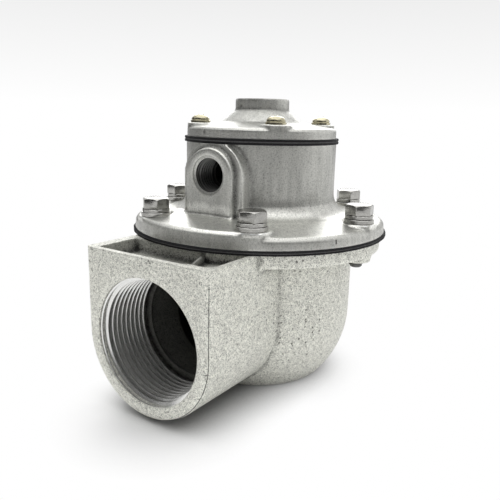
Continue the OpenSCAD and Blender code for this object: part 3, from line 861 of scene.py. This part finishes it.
def painted_flank_shade(obj, port, pitch, depth):
    """Leaves the crests bright and gives the flanks the second, dark material: painted shade in the thread's
    valleys.
    """
    obj.data.materials.append(material("small_thread"))
    back = port_frame(port).inverted()
    for face in obj.data.polygons:
        centre = back @ face.center
        height = min(max(centre.z / pitch / PORT_RUN_IN, 0.04), 1.0)
        tip = port_size(port)[0] - 0.45 * depth * height
        face.material_index = int(math.hypot(centre.x, centre.y) >= tip)


class VALVE_OT_port_threads(bpy.types.Operator):
    """Pipe threads of the side port, the bottom port, the vent and the pilot port"""

    bl_idname = "valve.port_threads"
    bl_label = "Port threads"

    def execute(self, context):
        s = context.scene.valve_sizes
        for port in ("inlet_port", "outlet_port"):
            obj = port_thread(port, "machined", "cast_body", s.large_pitch, s.large_depth, 96, 0.05 * MM)
            painted_flank_shade(obj, port, s.large_pitch, s.large_depth)
        for port in ("vent_port", "pilot_port"):
            port_thread(port, "small_thread", "cast_bonnet", s.small_pitch, s.small_depth, 48, 0.5 * MM)
        return {"FINISHED"}


@functools.cache
def coil_tree():
    """Geometry nodes of a compression spring: two closed end turns and open turns between them."""
    wires, given = geometry_tree("coil_spring", Float=("Radius", "Wire Radius", "Foot", "Top", "Turns"))
    line = helix(wires, given, Resolution=40, Height=0.0)
    # The first and the last turn rise by the wire's thickness, and the others share the rest.
    along = wires.node("GeometryNodeSplineParameter").outputs["Factor"]
    end_share = wires.sum("DIVIDE", 1.0, given["Turns"])
    last = wires.minus(1.0, end_share)
    thick = wires.times(given["Wire Radius"], 2.0)
    span = wires.minus(wires.minus(given["Top"], given["Foot"]), wires.times(thick, 3.0))
    height = wires.plus(given["Foot"], given["Wire Radius"])
    for low, high, rise in ((0.0, end_share, thick), (end_share, last, span), (last, 1.0, thick)):
        height = wires.plus(height, wires.ranged(along, low, high, 0.0, rise))
    lifted = wires.node("GeometryNodeSetPosition", {"Geometry": line, "Offset": wires.upright(z=height)})
    return swept(wires, given, lifted.outputs["Geometry"], round_section(wires, given["Wire Radius"], 12))


def spring(name, node, wire, turns):
    """A spring between the ends of its solid, which shortens towards its upper end."""
    low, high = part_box(node)
    radius = (high[0] - low[0]) / 2 - wire
    obj = grown(name, coil_tree(), "wire", {
        "Radius": radius, "Wire Radius": wire, "Foot": low[2], "Top": high[2], "Turns": turns,
    })
    finished(shaded(outward(obj), 50), "wire", "spring_wire", STATIC, node)
    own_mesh(obj)


class VALVE_OT_springs(bpy.types.Operator):
    """Coil springs of the main and the pilot diaphragm"""

    bl_idname = "valve.springs"
    bl_label = "Springs"

    def execute(self, context):
        spring("main_coil", "main_spring", wire=0.8 * MM, turns=6.0)
        spring("pilot_coil", "pilot_spring", wire=0.45 * MM, turns=5.0)
        return {"FINISHED"}


@functools.cache
def seam_tree():
    """Geometry nodes that sweep a low ridge along a line of points."""
    wires, given = geometry_tree("seam_ridge", Geometry=("Geometry",), Float=("Height", "Unevenness"))
    line = wires.node("GeometryNodeMeshToCurve", {"Mesh": given["Geometry"]}).outputs["Curve"]
    # The ridge comes and goes along the line, with a fixed pattern.
    uneven = wires.node("ShaderNodeTexNoise", {"Scale": 320.0}).outputs["Fac"]
    size = wires.ranged(uneven, 0.35, 0.65, wires.minus(1.0, given["Unevenness"]))
    return swept(wires, given, line, round_section(wires, given["Height"], 8), size)


class VALVE_OT_parting_line(bpy.types.Operator):
    """Thin parting line that the mould left beside the side port's face"""

    bl_idname = "valve.parting_line"
    bl_label = "Parting line"

    def execute(self, context):
        centre = MOUNTS["inlet_port"]["pos_m"][2]
        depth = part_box("valve_body")[0][1] + 1.0 * MM
        out = 28.55 * MM
        # Down the block's flat side, and then round under the port.
        points = [(out, depth, centre + 0.6 * MM * k) for k in range(44, 0, -1)]
        for k in range(54):
            angle = math.radians(-1.4 * k)
            points.append((out * math.cos(angle), depth, centre + out * math.sin(angle)))
        mesh = bpy.data.meshes.new("line")
        mesh.from_pydata(points, [(k, k + 1) for k in range(len(points) - 1)], [])
        values = {"Height": context.scene.valve_sizes.flash, "Unevenness": 0.3}
        # The ridge is dark: painted shade along the parting line.
        obj = grown("parting_line", seam_tree(), "grime", values, mesh)
        finished(shaded(outward(obj), 60), "grime", "cast_body", STATIC)
        return {"FINISHED"}


# Diaphragms

def uneven_rim(obj, radius, depth):
    """Pulls the rim of a cut rubber disc in by a little, more at some places than at others."""
    for vertex in obj.data.vertices:
        x, y, z = vertex.co
        r = math.hypot(x, y)
        if r < radius - 0.6 * MM:
            continue
        a = math.atan2(y, x)
        fine = math.sin(17 * a + z * 900) + math.sin(41 * a + 2)
        pull = 1 - depth * (0.5 + 0.2 * math.sin(5 * a + 1) + 0.15 * fine) / r
        vertex.co.x *= pull
        vertex.co.y *= pull


def soft_step(share):
    """A share from zero to one that starts and ends level."""
    return share * share * (3 - 2 * share)


def rubber_disc(name, node, body, hole, flat, roll, heights, ply, bolts, bolt_hole, segments, bevel):
    """A moulded diaphragm, whose middle, out to flat, follows a body, and whose rim, from roll on, stays.

    Heights are: middle below and above, rim below and above.
    """
    low_in, high_in, low_out, high_out = heights
    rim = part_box(node)[1][0]
    middle = (low_out + high_out) / 2
    lip, groove = 0.12 * MM, 0.25 * MM

    def face(z_in, z_out):
        """Points of one face, from the hole to near the rim."""
        points = [(flat * k / 4 + hole * (1 - k / 4), z_in) for k in range(5)]
        for k in range(1, 8):
            points.append((flat + (roll - flat) * k / 8, z_in + (z_out - z_in) * soft_step(k / 8)))
        return points + [(roll + (rim - roll) * k / 5, z_out) for k in range(5)]

    low_ply, high_ply = middle - ply / 2, middle + ply / 2
    edge = [(rim - lip, low_out), (rim, low_out + lip), (rim, low_ply), (rim - groove, low_ply),
            (rim - groove, high_ply), (rim, high_ply), (rim, high_out - bevel), (rim - bevel, high_out)]
    profile = face(low_in, low_out) + edge + face(high_in, high_out)[::-1]
    obj = turned(name, profile, segments=segments, closed=True)
    for x, y in middles(bolts):
        points = [(bolt_hole, low_out - MM), (bolt_hole, high_out + MM)]
        combine(obj, rod("peg", points, Matrix.Translation((x, y, 0)), 24))
    uneven_rim(obj, rim, 0.35 * MM)
    obj.data.materials.clear()
    for key in ("rubber", "fabric"):
        obj.data.materials.append(material(key))
    for polygon in obj.data.polygons:
        x, y, z = polygon.center
        if abs(z - middle) < ply / 2 and math.hypot(x, y) > rim - 0.8 * MM and abs(polygon.normal.z) < 0.5:
            polygon.material_index = 1
    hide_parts(node)
    shaded(obj, 40)
    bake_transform(obj, STATIC, body, start=(roll, 0, high_out), end=(flat, 0, high_out))
    # Each point follows the lift by its distance from the axis.
    x, y, z = values_of(obj.data.vertices, "co", 3).T
    share = np.clip((roll - np.hypot(x, y)) / (roll - flat), 0, 1)
    write(obj.data.attributes["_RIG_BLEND"], soft_step(share))


class VALVE_OT_diaphragms(bpy.types.Operator):
    """Rubber diaphragms with a fabric ply: their rims stay clamped and their middles lift"""

    bl_idname = "valve.diaphragms"
    bl_label = "Diaphragms"

    def execute(self, context):
        ply = context.scene.valve_sizes.ply
        seat, top = levels("bonnet")
        heights = (levels("main_plate_lower")[1], levels("main_plate_upper")[0], seat - 1.7 * MM, seat)
        rubber_disc(
            "main_disc", "main_diaphragm", MAIN, hole=4.3 * MM, flat=27 * MM, roll=36 * MM, heights=heights,
            ply=ply, bolts=HEX_BOLTS, bolt_hole=3.3 * MM, segments=240, bevel=0.45 * MM,
        )
        heights = (levels("pilot_washer")[1], levels("pilot_plate")[0], top, levels("pilot_diaphragm")[1])
        rubber_disc(
            "pilot_disc", "pilot_diaphragm", PILOT, hole=2.0 * MM, flat=11.5 * MM, roll=20.2 * MM,
            heights=heights, ply=ply * 1.1, bolts=COVER_SCREWS, bolt_hole=2.3 * MM, segments=200,
            bevel=0.12 * MM,
        )
        return {"FINISHED"}


# Bolts, screws and washers

@functools.cache
def copies_tree():
    """Geometry nodes that put a copy of a part on each point, turned by the point's own angle."""
    wires, given = geometry_tree("placed_copies", Geometry=("Geometry",), Object=("Part",))
    part = wires.node("GeometryNodeObjectInfo", {"Object": given["Part"]}).outputs["Geometry"]
    angle = wires.node("GeometryNodeInputNamedAttribute", {"Name": "turn"}, data_type="FLOAT")
    turn = wires.upright(z=angle.outputs["Attribute"])
    put = wires.node("GeometryNodeInstanceOnPoints", {
        "Points": given["Geometry"], "Instance": part, "Rotation": turn,
    })
    return end_tree(wires, given, put.outputs["Instances"])


def copies(name, part, nodes, turns, key, slot):
    """Copies of a part as one piece, at the places of the solids that it stands for."""
    mesh = bpy.data.meshes.new("places")
    mesh.from_pydata([(x, y, 0) for x, y in middles(nodes)], [], [])
    write(mesh.attributes.new("turn", "FLOAT", "POINT"), [math.radians(turn) for turn in turns])
    obj = grown(name, copies_tree(), key, {"Part": part}, mesh)
    drop(part)
    return finished(shaded(obj, 30), key, slot, STATIC, *nodes)


def hexagon_head(name, flats, z0, z1, both=False):
    """A hexagon with chamfered corners, on one side or on both."""
    corner = flats / math.sqrt(3)
    angles = [math.radians(60 * k) for k in range(6)]
    head = prism(name, [(corner * math.cos(a), corner * math.sin(a)) for a in angles], z0, z1)
    flat, wide = flats / 2 * 0.94, corner + 0.05 * MM
    fall = (wide - flat) * math.tan(math.radians(30))
    below = [(flat, z0), (wide, z0 + fall)] if both else [(corner * 1.01, z0)]
    return combine(head, rod("round", below + [(wide, z1 - fall), (flat, z1)], segments=72), "INTERSECT")


def washer_ring(name, node, inner, outer, edge, segments):
    """A flat ring with chamfered outer edges, as high as its solid."""
    low, high = levels(node)
    profile = [(inner, low), (outer - edge, low), (outer, low + edge),
               (outer, high - edge), (outer - edge, high), (inner, high)]
    return turned(name, profile, segments=segments, closed=True)


def split_washer(low, high):
    """A split ring whose ends stand a little apart in height."""
    inner, outer, edge, rise = 3.15 * MM, 5.55 * MM, 0.16 * MM, 0.22 * MM
    gap, steps = math.radians(8), 56
    tall = high - low - rise
    section = [(inner, 0), (outer - edge, 0), (outer, edge),
               (outer, tall - edge), (outer - edge, tall), (inner, tall)]
    rings = []
    for k in range(steps + 1):
        t = k / steps
        a = gap / 2 + (2 * math.pi - gap) * t
        rings.append([(r * math.cos(a), r * math.sin(a), low + rise * t + z) for r, z in section])
    return skinned("split", rings, caps=True)


class VALVE_OT_flange_bolts(bpy.types.Operator):
    """Six hexagon bolts of the flange, with split and flat washers"""

    bl_idname = "valve.flange_bolts"
    bl_label = "Flange bolts"

    def execute(self, context):
        foot, top = levels("hex_bolt_1")
        washer, seat = levels("spring_washer_1")
        core, crest, end = 2.45 * MM, 2.96 * MM, 0.5 * MM
        thread_top = foot + 9 * MM
        head = bevelled(hexagon_head("head", 10 * MM, seat, top), 0.12 * MM)
        shank = rod("shank", [(core - end, foot), (core, foot + end), (core, thread_top),
                              (crest, thread_top + end), (crest, seat + end)], segments=40)
        ridge = thread_ridge(
            "ridge", "zinc", core, pitch=1.0 * MM, depth=crest - core, turns=8.0, root=0.1 * MM, steps=28,
            place=Matrix.Translation((0, 0, foot + 0.8 * MM)),
        )
        bolt = joined("bolt", head, shank, ridge)
        bolts = copies("flange_bolts", bolt, HEX_BOLTS, (12, 40, 5, 25, 50, 18), "zinc", "zinc_steel")
        # Painted shade: the threads, which sit in shadow, get the dark thread material.
        bolts.data.materials.append(material("small_thread"))
        for face in bolts.data.polygons:
            face.material_index = int(face.center.z < thread_top)
        turns = (200, 80, 300, 20, 140, 250)
        copies("split_washers", split_washer(washer, seat), SPRING_WASHERS, turns, "zinc", "zinc_steel")
        ring = washer_ring(
            "flat", "plain_washer_1", inner=3.2 * MM, outer=6 * MM, edge=0.18 * MM, segments=56
        )
        copies("flat_washers", ring, PLAIN_WASHERS, [0] * 6, "zinc", "zinc_steel")
        return {"FINISHED"}


class VALVE_OT_cover_screws(bpy.types.Operator):
    """Four cross recess screws of the cover, with thin washers"""

    bl_idname = "valve.cover_screws"
    bl_label = "Cover screws"

    def execute(self, context):
        foot, top = levels("cover_screw_1")
        seat = levels("screw_washer_1")[1]
        r, shank = 3.72 * MM, 1.95 * MM
        rise = top - seat - 0.4 * MM
        angles = [math.radians(5.625 * k) for k in range(16, -1, -1)]
        dome = [(r * math.sin(a), top - rise * (1 - math.cos(a))) for a in angles]
        profile = [(0, foot), (1.6 * MM, foot), (shank, foot + 0.5 * MM), (shank, seat),
                   (r - 0.25 * MM, seat), (r, seat + 0.2 * MM), *dome]
        screw = turned("screw", profile, segments=48)
        # Each wing of the cross recess is narrower at its bottom.
        wings = ((top - 1.6 * MM, 0.7 * MM, 0.32 * MM), (top + 0.5 * MM, 2.5 * MM, 0.6 * MM))
        corners = ((-1, -1), (1, -1), (1, 1), (-1, 1))
        rings = [[(x * long, y * wide, z) for x, y in corners] for z, long, wide in wings]
        for turn in (0, 90):
            place = Matrix.Rotation(math.radians(turn), 4, "Z")
            combine(screw, skinned("blade", rings, caps=True, place=place))
        screw = bevelled(screw, 0.06 * MM, 1)
        copies("cover_screws", screw, COVER_SCREWS, (20, 65, 40, 5), "yellow_zinc", "yellow_zinc")
        ring = washer_ring(
            "thin", "screw_washer_1", inner=2.15 * MM, outer=4.1 * MM, edge=0.1 * MM, segments=48
        )
        copies("thin_washers", ring, SCREW_WASHERS, [0] * 4, "yellow_zinc", "yellow_zinc")
        return {"FINISHED"}


class VALVE_OT_centre_fasteners(bpy.types.Operator):
    """Bolt and nut that clamp the main diaphragm between its plates, and the finish of the inner plates"""

    bl_idname = "valve.centre_fasteners"
    bl_label = "Centre fasteners"

    def execute(self, context):
        flats, edge = 13 * MM, 0.12 * MM
        low, high = levels("centre_bolt")
        plate = levels("main_plate_lower")[0]
        # The head is made upside down, because its chamfer points down.
        head = hexagon_head("head", flats, -plate, -low)
        head.data.transform(Matrix.Rotation(math.pi, 4, "X"))
        r = 3.95 * MM
        shank = rod("shank", [(r, plate - 0.5 * MM), (r, high - 0.7 * MM), (3.3 * MM, high)], segments=48)
        bolt = joined("middle_bolt", bevelled(head, edge), shank)
        low, high = levels("centre_nut")
        nut = hexagon_head("middle_nut", flats, low, high, both=True)
        hole = rod("hole", [(4.0 * MM, low - MM), (4.0 * MM, high + MM)], segments=48)
        nut = bevelled(combine(nut, hole), edge)
        for obj, node in ((bolt, "centre_bolt"), (nut, "centre_nut")):
            finished(shaded(outward(obj), 30), "zinc", "zinc_steel", MAIN, node)
        plates = ("main_plate_upper", "main_plate_lower", "pilot_plate", "pilot_washer")
        for node, key in (*((plate, "plate") for plate in plates), ("pilot_rivet", "brass")):
            for slot in frame["nodes"][node].material_slots:
                slot.material = material(key)
        return {"FINISHED"}


# Stage

CAMERA_DISTANCE = 246.465 * MM
CAMERA_HEIGHT = 109.444 * MM
CAMERA_SIDE = math.radians(33.2338)
CAMERA_YAW = math.radians(0.8981)
CAMERA_PITCH = math.radians(13.2513)
CAMERA_ROLL = math.radians(1.2977)
CAMERA_LENS = 40.544
# Name, place, the point that it looks at, width and power.
LAMPS = (
    ("top_lamp", (0.0, 0.06, 1.15), (0, 0, 0.05), 1.3, 5.0),
    ("back_lamp", (-0.52, 0.85, 0.62), (0, 0, 0.07), 0.8, 5.0),
    ("right_lamp", (0.95, -0.45, 0.5), (0, 0, 0.04), 0.8, 0.9),
)
# Name, place, the height on the valve's axis that it faces, width, height and tone.
CARDS = (
    ("front_card", (0.05, -0.80, 0.35), 0.35, 1.9, 1.2, 0.04),
    ("right_card", (0.80, -0.25, 0.20), 0.20, 1.0, 0.9, 0.10),
    ("back_card", (-0.62, 0.95, 0.09), 0.09, 2.0, 0.28, 0.35),
    ("left_card", (-0.80, -0.20, 0.20), 0.20, 0.9, 0.8, 0.06),
)


def place_camera(scene):
    """The camera of the picture: a little above the valve, with its port to the left."""
    place = Matrix.Rotation(CAMERA_SIDE, 4, "Z") @ Vector((0, -CAMERA_DISTANCE, CAMERA_HEIGHT))
    turn = Matrix.Translation(place)
    tilt = math.pi / 2 - CAMERA_PITCH
    for angle, axis in ((CAMERA_SIDE + CAMERA_YAW, "Z"), (tilt, "X"), (CAMERA_ROLL, "Z")):
        turn = turn @ Matrix.Rotation(angle, 4, axis)
    data = bpy.data.cameras.new("camera")
    data.sensor_width = 36.0
    data.lens = CAMERA_LENS
    data.clip_start = 0.01
    scene.camera = linked("camera", data)
    scene.camera.matrix_world = turn


def aimed(place, aim):
    """A matrix at a place that looks at a point."""
    look = (Vector(aim) - Vector(place)).to_track_quat("-Z", "Y").to_matrix().to_4x4()
    return Matrix.Translation(place) @ look


def soft_lamp(name, place, aim, width, power):
    """A square soft lamp that looks at a point."""
    data = bpy.data.lights.new(name, "AREA")
    data.size = width
    data.energy = power
    linked(name, data).matrix_world = aimed(place, aim)


def flat_sheet(name, half):
    """A square sheet."""
    bm = bmesh.new()
    bmesh.ops.create_grid(bm, x_segments=1, y_segments=1, size=half)
    return built(name, bm)


def dark_card(name, place, aim, width, height, tone):
    """A dark upright card, outside the picture, which the metal mirrors."""
    card = flat_sheet(name, 0.5)
    card.matrix_world = aimed(place, (0, 0, aim)) @ Matrix.Diagonal((width, height, 1, 1))
    made, wires, shader = new_material(name)
    grain = wires.ranged(wires.noise(wires.place(), 40.0), 0.3, 0.7, 0.9, 1.1)
    wires.feed(wires.toned((tone, tone, tone), grain), shader["Base Color"])
    shader["Roughness"].default_value = 0.9
    card.data.materials.append(made)
    card.visible_camera = False
    card.visible_diffuse = False
    card.visible_shadow = False


def seen_ray(wires):
    """One for rays that show the background: from the camera, mirrored or let through."""
    path = wires.node("ShaderNodeLightPath").outputs
    seen = wires.larger(path["Is Camera Ray"], path["Is Glossy Ray"])
    return wires.larger(seen, path["Is Transmission Ray"])


def white_room(scene):
    """Surroundings that light the valve evenly. They look white at the floor's edge and darker higher up."""
    world = bpy.data.worlds.new("white_room")
    scene.world = world
    world.use_nodes = True
    wires = Wires(world.node_tree)
    sky = wires.node("ShaderNodeTexCoord").outputs["Generated"]
    height = wires.node("ShaderNodeSeparateXYZ", {"Vector": sky}).outputs["Z"]
    backdrop = wires.ranged(height, 0.02, 0.2, 1.0, 0.85)
    level = wires.node("ShaderNodeMix", {"Factor": seen_ray(wires), "A": 0.74, "B": backdrop})
    background = wires.nodes["Background"].inputs
    background["Color"].default_value = (1, 1, 1, 1)
    wires.feed(level.outputs["Result"], background["Strength"])


def pale_floor():
    """A floor that looks white away from the valve and keeps its shadow close by."""
    floor = flat_sheet("floor", 4.0)
    made, wires, shader = new_material("pale_floor")
    # The floor is darker close to the valve, where little light gets in.
    nook = wires.node("ShaderNodeAmbientOcclusion", {"Distance": 0.022}, samples=8).outputs["AO"]
    lit = wires.ranged(nook, 0.1, 0.8, 0.22, 1.0)
    wires.feed(wires.toned(bpy.context.scene.valve_colours.floor, lit), shader["Base Color"])
    shader["Roughness"].default_value = 0.75
    # The distance from the line under the bell and the side port: the floor glows only away from it.
    place = wires.node("ShaderNodeSeparateXYZ", {"Vector": wires.place()}).outputs
    near = wires.larger(wires.smaller(place["Y"], 0.0), -0.066)
    reach = wires.vectors("LENGTH", wires.upright(x=place["X"], y=wires.minus(place["Y"], near)))["Value"]
    share = wires.times(wires.ranged(reach, 0.012, 0.040), seen_ray(wires))
    blend = wires.node("ShaderNodeMixShader", {
        "Fac": wires.times(share, lit), 1: wires.nodes["Principled BSDF"].outputs["BSDF"],
        2: wires.node("ShaderNodeEmission").outputs["Emission"],
    })
    wires.feed(blend.outputs["Shader"], wires.nodes["Material Output"].inputs["Surface"])
    floor.data.materials.append(made)


class VALVE_OT_stage(bpy.types.Operator):
    """Pale floor, soft lamps, white surroundings and the camera"""

    bl_idname = "valve.stage"
    bl_label = "Stage"

    def execute(self, context):
        place_camera(context.scene)
        white_room(context.scene)
        pale_floor()
        for lamp in LAMPS:
            soft_lamp(*lamp)
        for card in CARDS:
            dark_card(*card)
        context.scene.view_settings.view_transform = "Standard"
        return {"FINISHED"}


OPERATORS = (
    VALVE_OT_stage,
    VALVE_OT_body_casting,
    VALVE_OT_bonnet_casting,
    VALVE_OT_cover_casting,
    VALVE_OT_port_threads,
    VALVE_OT_parting_line,
    VALVE_OT_diaphragms,
    VALVE_OT_springs,
    VALVE_OT_flange_bolts,
    VALVE_OT_cover_screws,
    VALVE_OT_centre_fasteners,
)


class VALVE_PT_panel(bpy.types.Panel):
    """Lists the sizes, the colours and the steps that build the valve"""

    bl_idname = "VALVE_PT_panel"
    bl_label = "Pulse valve"
    bl_space_type = "VIEW_3D"
    bl_region_type = "UI"
    bl_category = "Valve"

    def draw(self, context):
        for group in (context.scene.valve_sizes, context.scene.valve_colours):
            for name in group.__annotations__:
                self.layout.prop(group, name)
        for operator in OPERATORS:
            self.layout.operator(operator.bl_idname)


CLASSES = (ValveSizes, ValveColours, *OPERATORS, VALVE_PT_panel)


def register():
    """Registers the classes and hangs the property groups on the scene."""
    for item in CLASSES:
        bpy.utils.register_class(item)
    bpy.types.Scene.valve_sizes = bpy.props.PointerProperty(type=ValveSizes)
    bpy.types.Scene.valve_colours = bpy.props.PointerProperty(type=ValveColours)


def unregister():
    """Takes the property groups off the scene and the classes out."""
    del bpy.types.Scene.valve_colours
    del bpy.types.Scene.valve_sizes
    for item in reversed(CLASSES):
        bpy.utils.unregister_class(item)


def main():
    """Builds the scene step by step."""
    register()
    for operator in OPERATORS:
        section, name = operator.bl_idname.split(".")
        getattr(getattr(bpy.ops, section), name)()


if __name__ == "__main__":
    main()
